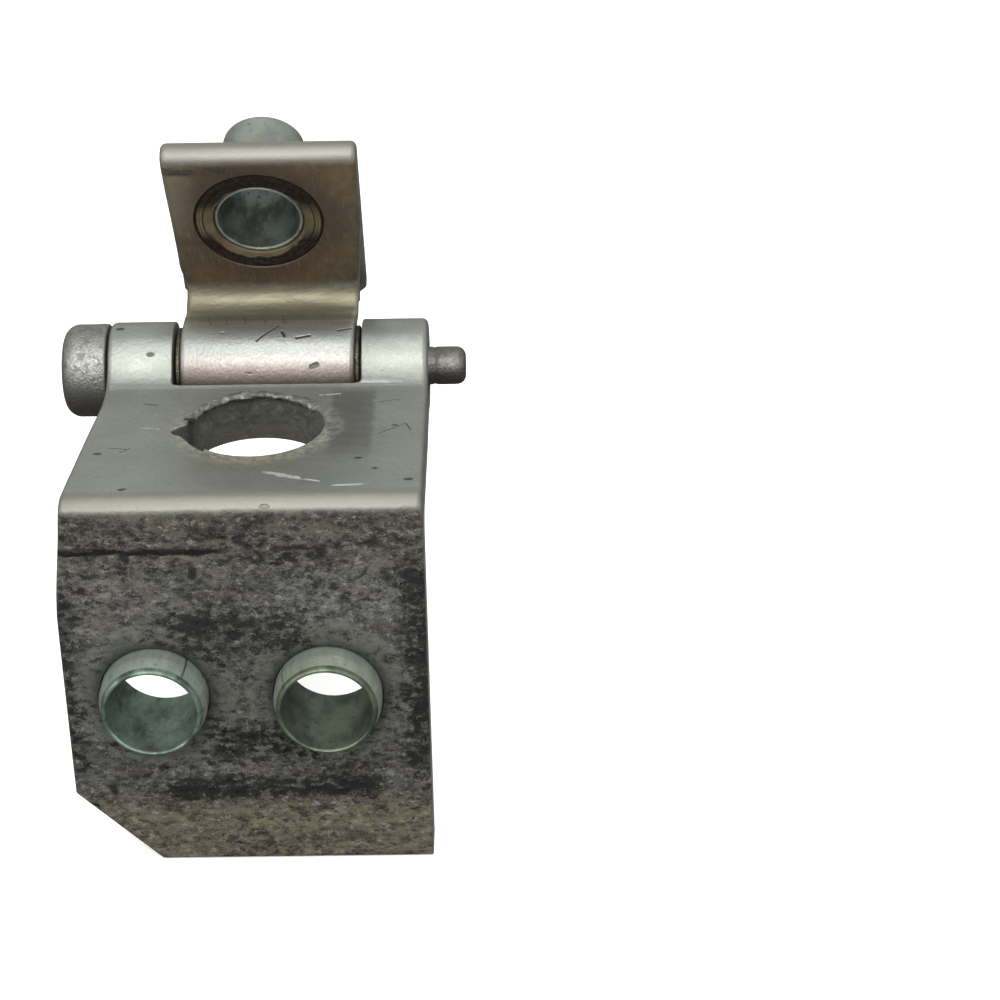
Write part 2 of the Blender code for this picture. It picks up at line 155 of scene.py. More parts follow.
room = bpy.data.worlds.new("grey_room")
room.use_nodes = True
room_light = room.node_tree.nodes["Background"]
up_down = put(room.node_tree, "SeparateXYZ", {0: put(room.node_tree, "TexCoord").outputs["Generated"]})
shade = put(room.node_tree, "MapRange", {
    "Value": up_down.outputs["Z"], "From Min": -0.1, "From Max": 0.45, "To Min": 0.12, "To Max": 0.8,
}, interpolation_type="SMOOTHSTEP")
room.node_tree.links.new(shade.outputs[0], room_light.inputs["Strength"])
room_light.inputs["Color"].default_value = (1.0, 1.0, 1.0, 1)
bpy.context.scene.world = room
bpy.context.scene.view_settings.view_transform = "Standard"
print("floor at", round(cad_low.z / MM, 2), "mm")

# %% [markdown]
# ## Working by hand
# Three helpers stand for the maker's hand: choosing corners, edges or faces by where they are, turning a body
# on a lathe ring by ring, and cutting one body with another. Everything is deselected before a new piece
# starts.

# %% Choosing, turning and cutting
MERGE = 0.004 * MM


def mode(kind):
    """Into edit mode or back to object mode."""
    bpy.ops.object.mode_set(mode=kind)


def apply_moves():
    """Makes the place, turn and scale of the selected piece part of its shape."""
    bpy.ops.object.transform_apply(location=True, rotation=True, scale=True)


def choose(test, kind="VERT"):
    """In edit mode, selects just what passes the test and returns how many."""
    mesh = bpy.context.edit_object.data
    bpy.ops.mesh.select_mode(type=kind)
    bpy.ops.mesh.select_all(action="DESELECT")
    body = bmesh.from_edit_mesh(mesh)
    kinds = {"VERT": body.verts, "EDGE": body.edges, "FACE": body.faces}
    found = [item for item in kinds[kind] if test(item)]
    for item in found:
        item.select_set(True)
    bmesh.update_edit_mesh(mesh)
    return len(found)


def tidy(piece, angle=35.0):
    """Merges doubles, turns the faces outwards, smooths all but the sharp edges, and prints what was made."""
    bpy.ops.object.select_all(action="DESELECT")
    piece.select_set(True)
    bpy.context.view_layer.objects.active = piece
    mode("EDIT")
    bpy.ops.mesh.select_all(action="SELECT")
    bpy.ops.mesh.remove_doubles(threshold=MERGE)
    bpy.ops.mesh.normals_make_consistent(inside=False)
    body = bmesh.from_edit_mesh(piece.data)
    gaps = sum(1 for e in body.edges if len(e.link_faces) != 2)
    mode("OBJECT")
    bpy.ops.object.shade_smooth_by_angle(angle=math.radians(angle))
    print(piece.name, len(piece.data.polygons), "faces,", gaps, "open edges")
    return piece


def turned(name, outline, place, axis, sides=96):
    """A body turned from (radius, height) points in mm. It is solid, unless the last point is the first."""
    hollow = outline[0] == outline[-1]
    bpy.ops.object.select_all(action="DESELECT")
    bpy.ops.mesh.primitive_circle_add(
        vertices=sides, radius=outline[0][0] * MM, fill_type="NOTHING" if hollow else "NGON"
    )
    piece = bpy.context.object
    piece.name = piece.data.name = name
    mode("EDIT")
    bpy.ops.mesh.select_all(action="SELECT")
    for (r0, h0), (r1, h1) in zip(outline, outline[1:]):
        bpy.ops.mesh.extrude_region_move(TRANSFORM_OT_translate={"value": (0, 0, (h1 - h0) * MM)})
        bpy.ops.transform.resize(value=(r1 / r0, r1 / r0, 1))
    mode("OBJECT")
    turn = Vector((0, 0, 1)).rotation_difference(Vector(axis)).to_matrix().to_4x4()
    start = Vector((0, 0, outline[0][1]))
    piece.matrix_world = Matrix.Translation(Vector(place) * MM) @ turn @ Matrix.Translation(start * MM)
    apply_moves()
    return tidy(piece)


def take_away(piece, tool):
    """Cuts the tool's shape out of the piece, and throws the tool away."""
    step = piece.modifiers.new("cut", "BOOLEAN")
    step.object = tool
    step.operation = "DIFFERENCE"
    step.solver = "EXACT"
    bpy.ops.object.select_all(action="DESELECT")
    piece.select_set(True)
    bpy.context.view_layer.objects.active = piece
    bpy.ops.object.modifier_apply(modifier=step.name)
    bpy.data.objects.remove(tool)


def quarter(radius, height, size, start, end, steps=4):
    """Points of a rounded corner, in (radius, height), about a centre."""
    turns = [math.radians(start + (end - start) * i / steps) for i in range(steps + 1)]
    return [(radius + size * math.cos(a), height + size * math.sin(a)) for a in turns]


def drill(radius, half, rim):
    """The outline of a drill that also rounds the edge of its hole on both faces of a plate."""
    low = quarter(radius + rim, -half + rim, -rim, 90, 0)
    high = quarter(radius + rim, half - rim, -rim, 0, -90)
    return [(radius + rim, -half - 2)] + low + high + [(radius + rim, half + 2)]


# %% [markdown]
# ## The strip
# Both halves of the real hinge are strips of steel, 3.8 and 2.3 mm thick, bent round formers in a press. So
# each is modelled the way it is bent: a short flat is added, then its end is extruded for a straight run and
# spun round a centre for a bend. The face that shows is kept in a vertex group, and what is extruded from it
# joins the group, so the long edges are easy to find and round later.

# %% Bending a strip
STRIP = 3.8
SEAM = 0.3
PLY = 2 * STRIP + SEAM
WORN = 0.9
walk = {}


def directions():
    """Which way the strip runs, and the way to its left."""
    a = math.radians(walk["heading"])
    return Vector((0, math.cos(a), math.sin(a))), Vector((0, -math.sin(a), math.cos(a)))


def first_flat(name, thick, x, y, z, heading, shown_on_left, length):
    """Starts a strip with one flat, and leaves its far end selected in edit mode."""
    walk.update(at=Vector((x, y, z)), heading=heading)
    along, left = directions()
    outward = left if shown_on_left else -left
    centre = walk["at"] + along * length / 2 - outward * thick / 2
    bpy.ops.object.select_all(action="DESELECT")
    bpy.ops.mesh.primitive_plane_add(size=1)
    strip = bpy.context.object
    strip.name = strip.data.name = name
    frame_of_flat = Matrix((outward * thick, along * length, outward.cross(along))).transposed()
    strip.matrix_world = Matrix.Translation(centre * MM) @ (frame_of_flat * MM).to_4x4()
    apply_moves()
    shown = strip.vertex_groups.new(name="shown")
    near = [v.index for v in strip.data.vertices if (v.co / MM - centre).dot(outward) > 0]
    shown.add(near, 1.0, "ADD")
    mode("EDIT")
    choose(lambda e: all((v.co / MM - centre).dot(along) > length * 0.4 for v in e.verts), "EDGE")
    walk["at"] = walk["at"] + along * length
    return strip


def run(length, pieces=1):
    """Straight on."""
    along, _ = directions()
    for _ in range(pieces):
        bpy.ops.mesh.extrude_region_move(TRANSFORM_OT_translate={"value": along * length / pieces * MM})
    walk["at"] = walk["at"] + along * length


def bend(radius, turn, steps):
    """Round a former whose radius is measured to the shown face. A positive turn is to the left."""
    _, left = directions()
    centre = walk["at"] + left * math.copysign(radius, turn)
    bpy.ops.mesh.spin(
        steps=steps, angle=math.radians(-turn), center=centre * MM, axis=(1, 0, 0)
    )
    round_x = Matrix.Rotation(math.radians(turn), 3, "X")
    walk["at"] = centre + round_x @ (walk["at"] - centre)
    walk["heading"] += turn


def shown(vert):
    """Whether a corner lies on the face that shows."""
    layer = bmesh.from_edit_mesh(bpy.context.edit_object.data).verts.layers.deform.active
    return 0 in vert[layer] and vert[layer][0] > 0.5


def widen(width):
    """Draws the bent outline out sideways, to the strip's width."""
    bpy.ops.mesh.select_mode(type="FACE")
    bpy.ops.mesh.select_all(action="SELECT")
    bpy.ops.mesh.extrude_region_move(TRANSFORM_OT_translate={"value": (width * MM, 0, 0)})
    bpy.ops.mesh.select_all(action="SELECT")
    bpy.ops.mesh.remove_doubles(threshold=MERGE)
    bpy.ops.mesh.normals_make_consistent(inside=False)


def ease(value, start, end, at_start, at_end):
    """Runs smoothly from one number to another while value goes from start to end."""
    t = min(1.0, max(0.0, (value - start) / (end - start)))
    return at_start + (at_end - at_start) * t * t * (3 - 2 * t)


def trim_sides(left, right, left_side, right_side):
    """Moves the two sides, level by level, from left and right to where left_side and right_side say."""
    body = bmesh.from_edit_mesh(bpy.context.edit_object.data)
    moves = {}
    for v in body.verts:
        x, y, z = v.co / MM
        on_left = abs(x - left) < abs(x - right)
        goal = left_side(y, z) - left if on_left else right_side(y, z) - right
        moves.setdefault(round(goal, 2), set()).add(v.index)
    for move, members in moves.items():
        if abs(move) > 0.005:
            choose(lambda v: v.index in members)
            bpy.ops.transform.translate(value=(move * MM, 0, 0))
    print("sides trimmed at", len(moves), "levels")


def round_long_edges(size, is_end):
    """Rounds the edges between the shown face and the sides, as a worn press leaves them."""
    def side(face):
        return abs(face.normal.x) > 0.6 or is_end(face)

    def worn(edge):
        faces = edge.link_faces
        return len(faces) == 2 and side(faces[0]) != side(faces[1]) and all(shown(v) for v in edge.verts)

    found = choose(worn, "EDGE")
    bpy.ops.mesh.bevel(offset=size * MM, segments=4, profile=0.5, affect="EDGES", clamp_overlap=False)
    print("rounded", found, "edges")


# %% [markdown]
# ## The bracket
# The strip goes up the front of the plate, back along the flat, round the pin, forward again under the flat
# and down behind the plate, so the bracket is two layers thick everywhere but round the pin. The hollows
# where it runs into the roll have a 6 mm radius. The bend at the front is tighter than the strip is thick, so
# its inner corner is drawn together into one sharp corner.

# %% Bending the bracket
low_end = cad_low.z / MM
pin_y, pin_z = pin_place.y, pin_place.z
roll_r, hollow_r, front_r, back_r = 7.5, 6.0, 3.0, 2.5
flat_top = pin_z + 1.2
flat_under = flat_top - PLY
reach = roll_r + hollow_r
front_deg = math.degrees(math.acos((flat_top + hollow_r - pin_z) / reach))
under_deg = math.degrees(math.acos((pin_z - flat_under + hollow_r) / reach))
roll_start = pin_y - reach * math.sin(math.radians(front_deg))
roll_end = pin_y - reach * math.sin(math.radians(under_deg))
knuckle_left, knuckle_right = -22.25, 27.55

bracket = first_flat("bracket_strip", STRIP, knuckle_left, 0.0, low_end, 90, True, 3.0)
run(flat_top - front_r - low_end - 3.0, 18)
bend(front_r, -90, 8)
run(roll_start - front_r, 12)
bend(hollow_r, front_deg, 10)
bend(roll_r, -(180 + front_deg + under_deg), 56)
bend(hollow_r, under_deg, 6)
run(roll_end - PLY - back_r, 12)
bend(back_r, 90, 6)
run(flat_under - back_r - low_end, 18)
print("strip ends at", [round(v, 2) for v in walk["at"]])
bracket_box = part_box("bracket")
print("packed bracket in mm:", [round(v / MM, 1) for v in bracket_box[1] - bracket_box[0]])

front_corner = Vector((knuckle_left, STRIP, flat_top - STRIP))
found = choose(lambda v: not shown(v) and (v.co / MM - front_corner).length < 0.95)
bpy.ops.mesh.merge(type="CENTER")
body = bmesh.from_edit_mesh(bracket.data)
merged = next(v.co / MM for v in body.verts if v.select)
bpy.ops.transform.translate(value=(front_corner - merged) * MM)
print("drew", found, "inner corners of the front bend together")

nest = Vector((knuckle_left, STRIP + SEAM, flat_top - STRIP - SEAM))
back_centre = Vector((knuckle_left, PLY + back_r, flat_under - back_r))


def on_back_bend(vert, lies):
    """Whether a corner is on the hidden face of the bend behind the plate, in the part that passes."""
    away = vert.co / MM - back_centre
    on_face = not shown(vert) and abs(away.length - back_r - STRIP) < 0.02
    return on_face and away.y < 0.01 and away.z > -0.01 and lies(away)


held = []
for flatten, lies in (
    ((1, 1, 0), lambda d: d.z >= -d.y - 0.01),
    ((1, 0, 1), lambda d: d.z <= -d.y + 0.01),
):
    choose(lambda v: v.index in held or on_back_bend(v, lies))
    if not held:
        picked = [v for v in bmesh.from_edit_mesh(bracket.data).verts if v.select]
        offsets = [(v.index, v.co / MM - back_centre) for v in picked]
        held = [index for index, away in offsets if abs(away.z + away.y) < 0.05]
    bpy.ops.transform.resize(value=flatten, center_override=nest * MM)
widen(knuckle_right - knuckle_left)

# %% [markdown]
# The plate is wider than the knuckles, and its lower left corner is cut off. On the real one the press trims
# this outline. Here the sides are moved out level by level, and one bisect cuts the corner. Then all outer
# long edges are rounded together.

# %% Trimming the bracket's outline
plate_left, plate_right, flat_left, corner_cut = -26.3, 27.6, -24.5, 12.4


def bracket_left(y, z):
    along_flat = knuckle_left + (flat_left - knuckle_left) * min(1.0, max(0.0, 1 - y / 31)) ** 0.8
    down_plate = ease(z, 12.0, pin_z + 1.6, plate_left, flat_left) - flat_left
    return along_flat + ease(y, PLY, PLY + 3.5, down_plate, 0.0)


def bracket_right(y, z):
    return ease(y, 30.0, 37.0, plate_right, knuckle_right)


trim_sides(knuckle_left, knuckle_right, bracket_left, bracket_right)
choose(lambda f: all(v.co.z < -0.008 and v.co.y < PLY * MM + 0.001 for v in f.verts), "FACE")
bpy.ops.mesh.bisect(
    plane_co=Vector((plate_left, 0, low_end + corner_cut)) * MM, plane_no=(-1, 0, -1), use_fill=True,
    clear_outer=True,
)
bpy.ops.mesh.select_all(action="SELECT")
bpy.ops.mesh.normals_make_consistent(inside=False)
round_long_edges(WORN, lambda f: f.normal.z < -0.6 and f.calc_center_median().z < -0.0295
                 or f.normal.z < -0.6 and f.normal.x < -0.6)
mode("OBJECT")
tidy(bracket)

# %% [markdown]
# ## Openings in the bracket
# The slot for the leaf's knuckle is milled square, with small corners. The round holes are punched, which
# rounds their upper edge, so each hole is cut by a drill that flares at both faces. A chip has broken out of
# the left side of the large hole: a small three-sided cone takes it out.

# %% Cutting the bracket
slot_left, slot_right, slot_front = -12.05, 17.25, 37.1
bpy.ops.object.select_all(action="DESELECT")
bpy.ops.mesh.primitive_cube_add(size=1)
slot = bpy.context.object
slot.scale = Vector((slot_right - slot_left, 24, 30)) * MM
slot.location = Vector(((slot_left + slot_right) / 2, slot_front + 12, pin_z)) * MM
apply_moves()
mode("EDIT")
choose(lambda e: all(abs(v.co.y / MM - slot_front) < 0.01 for v in e.verts)
       and abs(e.verts[0].co.z - e.verts[1].co.z) > 0.01, "EDGE")
bpy.ops.mesh.bevel(offset=1.2 * MM, segments=5, affect="EDGES")
mode("OBJECT")
take_away(bracket, slot)

mode("EDIT")


def slot_wall(face):
    x, y, z = face.calc_center_median() / MM
    return slot_left - 0.05 < x < slot_right + 0.05 and y > slot_front - 0.05


def slot_edge(edge):
    faces = edge.link_faces
    return len(faces) == 2 and slot_wall(faces[0]) != slot_wall(faces[1])


found = choose(slot_edge, "EDGE")
bpy.ops.mesh.bevel(offset=0.3 * MM, segments=2, affect="EDGES", clamp_overlap=False)
mode("OBJECT")
print("slot edges rounded:", found)

hole_x, hole_y, hole_r = 2.0, 24.4, 10.35
mid_flat = (flat_top + flat_under) / 2
take_away(bracket, turned("drill", drill(hole_r, PLY / 2, 0.45), (hole_x, hole_y, mid_flat), (0, 0, 1), 128))
sleeve_hole_r = 8.15
sleeve_x = [sum(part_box(n)[i].x for i in (0, 1)) / 2 / MM for n in ("sleeve_left", "sleeve_right")]
for x in sleeve_x:
    take_away(bracket, turned("drill", drill(sleeve_hole_r, PLY / 2, 0.3), (x, PLY / 2, 0), (0, -1, 0), 96))

bpy.ops.object.select_all(action="DESELECT")
bpy.ops.mesh.primitive_cone_add(
    vertices=3, radius1=4.4 * MM, radius2=0.6 * MM, depth=5.0 * MM,
    location=Vector((-6.9, 22.4, flat_top - 1.9)) * MM, rotation=(math.pi, 0.0, math.radians(-90)),
)
chip = bpy.context.object
chip.name = "chip_tool"
chip.scale.x = 2.1
apply_moves()
mode("EDIT")
bpy.ops.mesh.select_all(action="SELECT")
bpy.ops.mesh.subdivide(number_cuts=5)
bpy.ops.transform.vertex_random(offset=0.4 * MM, seed=4)
mode("OBJECT")
take_away(bracket, chip)
tidy(bracket, 30)

# %% [markdown]
# ## The burr
# Punching and the coat have left a thin ragged lip round the back of the large hole. It starts as a slim
# torus. Its front is cut away, it is pressed flat, and its corners are shaken by a seeded random move and
# smoothed. Years of dirt fill the seam between the two plies of the strip, so a narrow ring closes it, a hair
# behind the hole's wall.

# %% The burr round the hole
bpy.ops.object.select_all(action="DESELECT")
bpy.ops.mesh.primitive_torus_add(
    major_radius=(hole_r - 0.15) * MM, minor_radius=0.95 * MM, major_segments=150, minor_segments=12,
    location=Vector((hole_x, hole_y, flat_top - 0.15)) * MM,
)
burr = bpy.context.object
burr.name = burr.data.name = "hole_burr"
apply_moves()
mode("EDIT")
bpy.ops.mesh.select_all(action="SELECT")
bpy.ops.mesh.bisect(
    plane_co=Vector((hole_x, hole_y + 3.4, flat_top)) * MM, plane_no=(0.2, -1, 0), use_fill=True,
    clear_outer=True,
)
bpy.ops.mesh.select_all(action="SELECT")
bpy.ops.transform.resize(value=(1, 1, 0.55))
bpy.ops.transform.vertex_random(offset=0.85 * MM, seed=11)
bpy.ops.mesh.vertices_smooth(factor=0.5, repeat=3)
mode("OBJECT")
tidy(burr, 60)

packed_line = [(hole_r + 0.02, -0.7), (hole_r + 0.02, 0.7), (hole_r + 0.9, 0.7), (hole_r + 0.9, -0.7)]
packed = turned("packed_dirt", packed_line + packed_line[:1], (hole_x, hole_y, mid_flat), (0, 0, 1), 128)

# %% [markdown]
# ## The leaf
# This strip starts behind the leaf, goes up its back, folds flat over the top, comes down the face that
# shows, bends forward along the neck and rolls round the pin. It leans forward over the flat. The knuckle and
# neck are narrower than the leaf, so the sides are moved out above the neck.

# %% Bending the leaf
lean, neck_run = 113.2, 9.0
foot = Vector((0, pin_y + neck_run, pin_z + roll_r))
leaf_up = Vector((0, math.cos(math.radians(lean)), math.sin(math.radians(lean))))
leaf_back = Vector((0, math.sin(math.radians(lean)), -math.cos(math.radians(lean))))
leaf_left, leaf_right = -11.0, 16.2
leaf_strip, leaf_seam = 2.3, 0.2
leaf_ply = 2 * leaf_strip + leaf_seam
top_up, back_up, leaf_bend, first_run = 31.6, -1.5, 3.0, 2.0
fold_r = leaf_ply / 2
tangent = leaf_bend * math.tan(math.radians(lean / 2))
leaf_start = foot + leaf_up * back_up + leaf_back * leaf_ply

leaf = first_flat("leaf_strip", leaf_strip, leaf_left, leaf_start.y, leaf_start.z, lean, False, 1.0)
run(first_run, 4)
run(top_up - fold_r - back_up - 1.0 - first_run, 10)
bend(fold_r, 180, 20)
run(top_up - fold_r - neck_run, 8)
run(neck_run - tangent, 6)
bend(leaf_bend, -lean, 14)
run(neck_run - tangent, 2)
bend(roll_r, 295, 64)
widen(leaf_right - leaf_left)
leaf_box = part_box("leaf")
print("packed leaf in mm:", [round(v / MM, 1) for v in leaf_box[1] - leaf_box[0]])


def up_and_back(y, z):
    """How far up the leaf and how far behind its face a point is."""
    away = Vector((0, y, z)) - foot
    return away.dot(leaf_up), away.dot(leaf_back)


def leaf_left_side(y, z):
    up, back = up_and_back(y, z)
    if z < foot.z + 0.01 and y < foot.y:
        return leaf_left
    if back > leaf_strip + leaf_seam / 2:
        return ease(up, 8.0, top_up, -11.5, -12.1) + ease(up, back_up, back_up + 2.2, 1.6, 0.0)
    neck = leaf_left + ease(up, -2.0, 2.5, 0.0, 0.2)
    return ease(up, 3.0, 8.0, neck, -11.5) + ease(up, 8.0, top_up, 0.0, -0.6)


def leaf_right_side(y, z):
    up, back = up_and_back(y, z)
    if z < foot.z + 0.01 and y < foot.y:
        return leaf_right
    if back > leaf_strip + leaf_seam / 2:
        return 17.6 - ease(up, back_up, back_up + 2.2, 1.6, 0.0)
    return ease(up, 1.0, 20.0, leaf_right + 0.4, 17.6)


trim_sides(leaf_left, leaf_right, leaf_left_side, leaf_right_side)


def leaf_end(face):
    """The strip's two cut ends, behind the leaf and under the neck."""
    place = face.calc_center_median() / MM
    up, back = up_and_back(place.y, place.z)
    behind = abs(up - back_up) < 0.05 and back > leaf_strip + 0.1
    angle = math.degrees(math.atan2(place.z - pin_z, place.y - pin_y))
    return behind or abs(angle - 25) < 0.6 and 5.3 < math.hypot(place.y - pin_y, place.z - pin_z) < 7.4


round_long_edges(WORN, leaf_end)
mode("OBJECT")
tidy(leaf)

leaf_hole_x, leaf_hole_up, leaf_hole_r = 1.9, 17.8, 10.0
hole_face = foot + leaf_up * leaf_hole_up + Vector((leaf_hole_x, 0, 0))
middle = hole_face + leaf_back * leaf_ply / 2
take_away(leaf, turned("drill", drill(leaf_hole_r, leaf_ply / 2, 0.25), middle, leaf_back, 128))
tidy(leaf, 30)

# %% [markdown]
# ## Turned pieces
# The pin, the bushes, the sleeves, the collar and the tube are all round, so each is drawn as rings: a circle
# is extruded and scaled from ring to ring. The sleeves are rolled from sheet, so each keeps an open joint,
# which a thin box cuts.

# %% Pin and bushes
head_gap, head_length = 0.3, 7.1
head_right = knuckle_left - head_gap
head_left = head_right - head_length
stub_end = knuckle_right + 5.85
pin_line = [(0.4, head_left), (2.4, head_left + 0.04), (4.9, head_left + 0.2)]
pin_line += quarter(4.9, head_left + 2.4, 2.4, -75, 0, 7)
pin_line += [(7.3, head_right - 2.2), (7.36, head_right - 1.0)]
pin_line += quarter(6.9, head_right - 0.4, 0.4, 10, 90, 3)
pin_line += [(3.55, head_right), (3.55, -12.2), (3.0, -11.6), (3.0, knuckle_right + 0.6)]
pin_line += [(2.9, knuckle_right + 0.8), (2.9, knuckle_right + 1.1), (3.0, knuckle_right + 1.3)]
pin_line += [(3.0, stub_end - 2.0)] + quarter(1.5, stub_end - 1.5, 1.5, 10, 84, 6) + [(0.3, stub_end)]
pin = turned("hinge_pin", pin_line, (0, pin_y, pin_z), (1, 0, 0), 96)

bush_in, bush_out, flange_r = 3.15, 3.55, 6.5
bushes = {}
for name, end, inward in (("left", leaf_left, 1), ("right", leaf_right, -1)):
    face, rim = end - inward * 0.15, end - inward * 0.7
    line = [(bush_in, rim), (flange_r - 0.15, rim), (flange_r, rim + inward * 0.15), (flange_r, face)]
    line += [(5.05, face), (5.05, end + inward * 8), (bush_in, end + inward * 8), (bush_in, rim)]
    bushes[name] = turned(f"bearing_bush_{name}", line, (0, pin_y, pin_z), (1, 0, 0), 72)
inner_end, outer_end = leaf_right + 1.25, knuckle_right - 0.2
line = [(bush_in, inner_end), (bush_out, inner_end), (bush_out, outer_end), (bush_in, outer_end)]
bushes["end"] = turned("bearing_bush_end", line + line[:1], (0, pin_y, pin_z), (1, 0, 0), 72)

# %% Sleeves
sleeves = {}
sleeve_line = [
    (7.4, -11.1), (7.6, -11.2), (7.85, -11.15), (8.0, -10.95), (8.0, 1.9), (7.97, 2.2), (7.86, 2.7),
    (7.62, 3.7), (7.52, 4.1), (7.36, 4.7), (7.25, 4.95), (7.08, 5.08), (6.9, 5.1), (6.76, 5.0), (6.68, 4.8),
    (7.3, 2.2), (7.4, 1.7),
]
sleeve_line.append(sleeve_line[0])
for name, x, joint_at in (("left", sleeve_x[0], 50.0), ("right", sleeve_x[1], 145.0)):
    sleeve = turned(f"rolled_sleeve_{name}", sleeve_line, (x, 0, 0), (0, -1, 0), 112)
    bpy.ops.object.select_all(action="DESELECT")
    bpy.ops.mesh.primitive_cube_add(size=1)
    saw = bpy.context.object
    saw.scale = Vector((4, 40, 0.35)) * MM
    bpy.ops.object.transform_apply(location=False, rotation=False, scale=True)
    a = math.radians(joint_at)
    saw.rotation_euler = (0, -a, 0)
    saw.location = Vector((x + 9.5 * math.cos(a), 0, 9.5 * math.sin(a))) * MM
    apply_moves()
    take_away(sleeve, saw)
    sleeves[name] = tidy(sleeve, 40)

# %% Collar and tube in the leaf
collar_line = [
    (7.0, 0.7), (7.12, 0.42), (7.5, 0.22), (8.5, 0.2), (8.56, 0.3), (8.66, 0.3), (8.72, 0.18), (9.1, 0.16),
    (9.2, 0.24), (9.3, 0.16), (9.7, 0.16), (9.85, 0.3), (9.85, 4.7), (7.0, 4.7), (7.0, 0.7),
]
collar = turned("leaf_bush_collar", collar_line, hole_face, leaf_back, 128)
tube_line = [
    (6.3, 0.8), (6.45, 0.62), (6.65, 0.6), (6.85, 0.8), (6.85, 5.2), (6.8, 5.8), (6.56, 7.6), (6.5, 8.3),
    (6.5, 16.3), (6.42, 16.75), (6.2, 17.0), (6.02, 16.95), (5.95, 16.7), (5.95, 8.3), (6.3, 5.3), (6.3, 0.8),
]
tube = turned("door_tube", tube_line, hole_face, leaf_back, 112)

# %% [markdown]
# ## Finishes
# Every finish reads Object coordinates, turned into millimetres first, so each pattern has its real size and
# stays on its piece. A finish is built up like dirt on the real thing: a base, then layers, each with a mask
# that says where it lies. Four small builders make masks: patches of noise, zones between limits, scattered
# marks and scratches.

# %% Tools for finishes
now = {}


def start_finish(name, metallic):
    """Starts a material, and gives it with the place on the piece in millimetres, whole and as x, y and z."""
    material = bpy.data.materials.new(name)
    material.use_nodes = True
    now["tree"] = tree = material.node_tree
    now["shader"] = tree.nodes["Principled BSDF"]
    now["shader"].inputs["Metallic"].default_value = metallic
    coords = put(tree, "TexCoord").outputs["Object"]
    now["place"] = put(tree, "VectorMath", {0: coords, "Scale": 1 / MM}, operation="SCALE").outputs[0]
    return material, now["place"], *put(tree, "SeparateXYZ", {0: now["place"]}).outputs


def maths(operation, *inputs):
    """One step of arithmetic on single values."""
    return put(now["tree"], "Math", dict(enumerate(inputs)), operation=operation).outputs[0]


def vectors(operation, *inputs):
    """One step of arithmetic on vectors, which gives a vector or a single value."""
    made = put(now["tree"], "VectorMath", dict(enumerate(inputs)), operation=operation)
    return made.outputs[1 if operation in ("LENGTH", "DISTANCE", "DOT_PRODUCT") else 0]


def spot_at(a_value, b_value):
    """Two values as one flat place."""
    return put(now["tree"], "CombineXYZ", {0: a_value, 1: b_value}).outputs[0]


def sized(size, stretch, shifts):
    """The place, moved and scaled so that one unit is size mm."""
    scales = [1 / (size * s) for s in stretch]
    return put(now["tree"], "Mapping", {0: now["place"], 1: shifts, 3: scales}).outputs[0]


def patches(size, low, high, stretch=(1, 1, 1), shift=0.0, detail=5.0, rough=0.6):
    """Cloudy patches of about size mm, 0 below low and 1 above high."""
    cloud = put(now["tree"], "TexNoise", {
        "Vector": sized(size, stretch, (shift, shift * 0.7, shift * 1.3)), "Scale": 1.0, "Detail": detail,
        "Roughness": rough,
    })
    return put(now["tree"], "MapRange", {"Value": cloud.outputs[0], "From Min": low, "From Max": high},
               interpolation_type="SMOOTHSTEP").outputs[0]


def times(*masks):
    """Masks multiplied together; a plain number may be one of them."""
    result = masks[0]
    for mask in masks[1:]:
        result = maths("MULTIPLY", result, mask)
    return result


def most(*masks):
    """The strongest of several masks."""
    result = masks[0]
    for mask in masks[1:]:
        result = maths("MAXIMUM", result, mask)
    return result


def zone(*limits):
    """1 where each value is on the far side of its limit: (value, gone, full) fades from gone to full."""
    return times(*[put(now["tree"], "MapRange", {
        "Value": value, "From Min": min(gone, full), "From Max": max(gone, full),
        "To Min": float(gone > full), "To Max": float(gone < full),
    }, interpolation_type="SMOOTHSTEP").outputs[0] for value, gone, full in limits])


def marks(size, share, stretch=(1, 1, 1), shift=0.0):
    """Scattered small marks, on that share of cells of about size mm."""
    where = sized(size, stretch, (shift, shift, shift))
    cells = put(now["tree"], "TexVoronoi", {"Vector": where, "Scale": 1.0, "Randomness": 1.0})
    pick = put(now["tree"], "SeparateXYZ", {0: cells.outputs["Color"]}).outputs[0]
    return zone((cells.outputs["Distance"], 0.34, 0.2), (pick, 1 - share, 1 - share + 0.01))


def segment(a_value, b_value, start, end, width):
    """A scratch between two points, in two of the millimetre values."""
    first, along = Vector((*start, 0)), Vector((*end, 0)) - Vector((*start, 0))
    away = vectors("SUBTRACT", spot_at(a_value, b_value), first)
    reach_on = vectors("DOT_PRODUCT", away, along / along.length_squared)
    held = put(now["tree"], "Clamp", {0: reach_on}).outputs[0]
    nearest = put(now["tree"], "VectorMath", {0: along, "Scale": held}, operation="SCALE").outputs[0]
    return zone((vectors("DISTANCE", away, nearest), width, width * 0.4))


def scratches(a_value, b_value, *lines):
    """Several scratches, each (start, end, width)."""
    return most(*[segment(a_value, b_value, *line) for line in lines])


def layered(base, layers, kind="RGBA"):
    """The base with layers over it in turn: each is its masks, multiplied, then its colour or number."""
    a, b, out = (6, 7, 2) if kind == "RGBA" else (2, 3, 0)
    result = to_linear(base) if kind == "RGBA" else base
    for *masks, top in layers:
        value = to_linear(top) if kind == "RGBA" else top
        result = put(now["tree"], "Mix", {0: times(*masks), a: result, b: value}, data_type=kind).outputs[out]
    return result


def relief(*heights):
    """Adds up heights, each its masks and then mm, and bends the surface by them."""
    total = 0.0
    for *masks, height in heights:
        total = maths("MULTIPLY_ADD", times(*masks), height, total)
    bump = put(now["tree"], "Bump", {"Height": total, "Distance": MM, "Strength": 1.0})
    now["tree"].links.new(bump.outputs[0], now["shader"].inputs["Normal"])


